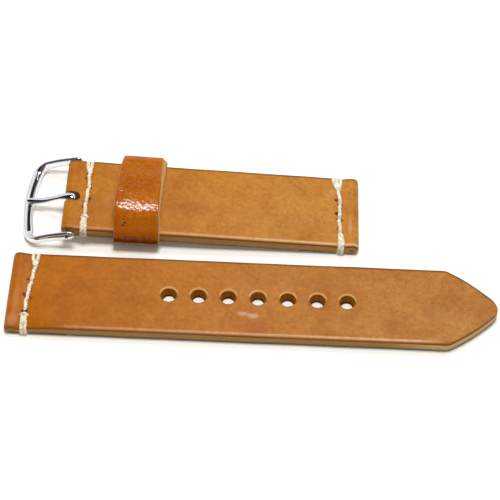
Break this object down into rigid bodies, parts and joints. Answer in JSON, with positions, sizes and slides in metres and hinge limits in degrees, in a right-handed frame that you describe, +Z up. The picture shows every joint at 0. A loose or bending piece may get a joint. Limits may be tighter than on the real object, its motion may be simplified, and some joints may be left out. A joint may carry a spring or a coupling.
{
  "type": "watch strap",
  "caption": "Tan leather watch strap, its tail and buckle pieces side by side, with a chrome pin buckle, a sliding leather keeper and cream hand stitching.",
  "frame": {"origin": "on the table top, under the middle of the box round both pieces as they lie", "axes": "+X along the straps, from their folded left ends to the tail's tip; +Y from the tail piece to the buckle piece; +Z up"},
  "size_m": [0.12, 0.0526, 0.0078],
  "materials": {
    "strap_leather": "oiled tan pull-up leather, matt with a faint sheen, paler at cut edges",
    "keeper_leather": "the same leather with a pressed, glossier face",
    "thread": "cream waxed linen thread",
    "polished_steel": "mirror polish",
    "bar_steel": "drawn steel"
  },
  "bodies": {
    "buckle_piece": {"buckle_strap": "strap_leather", "buckle_end_thread": "thread", "lug_end_thread": "thread", "spring_bar_tube": "bar_steel", "spring_bar_spring": "bar_steel"},
    "keeper_loop": {"keeper": "keeper_leather", "keeper_thread": "thread"},
    "buckle": {"buckle_frame": "polished_steel"},
    "tongue": {"buckle_tongue": "polished_steel"},
    "bar_tip_near": {"spring_bar_tip_near": "bar_steel"},
    "bar_tip_far": {"spring_bar_tip_far": "bar_steel"},
    "tail_piece": {"tail_strap": "strap_leather", "tail_thread": "thread"}
  },
  "joints": [
    {"name": "keeper_slide", "type": "slide", "parent": "buckle_piece", "child": "keeper_loop", "axis": [0.999, 0, -0.0446], "range_m": [-0.0062, 0.0435]},
    {"name": "buckle_hinge", "type": "hinge", "parent": "buckle_piece", "child": "buckle", "pos_m": [-0.04718, 0.01336, 0.00501], "axis": [0, 1, 0], "range_deg": [-100, 30]},
    {"name": "tongue_hinge", "type": "hinge", "parent": "buckle", "child": "tongue", "pos_m": [-0.04718, 0.01336, 0.00501], "axis": [0, 1, 0], "range_deg": [0, 90]},
    {"name": "near_tip_press", "type": "slide", "parent": "buckle_piece", "child": "bar_tip_near", "axis": [0, 1, 0], "range_m": [0, 0.00105], "stiffness_N_per_m": 500, "springref_m": -0.001, "deforming": ["spring_bar_spring"]},
    {"name": "far_tip_press", "type": "slide", "parent": "buckle_piece", "child": "bar_tip_far", "axis": [0, -1, 0], "range_m": [0, 0.00105], "stiffness_N_per_m": 500, "springref_m": -0.001},
    {"name": "tail_apart", "type": "slide", "parent": "buckle_piece", "child": "tail_piece", "axis": [0, -1, 0], "range_m": [0, 0.06]}
  ]
}
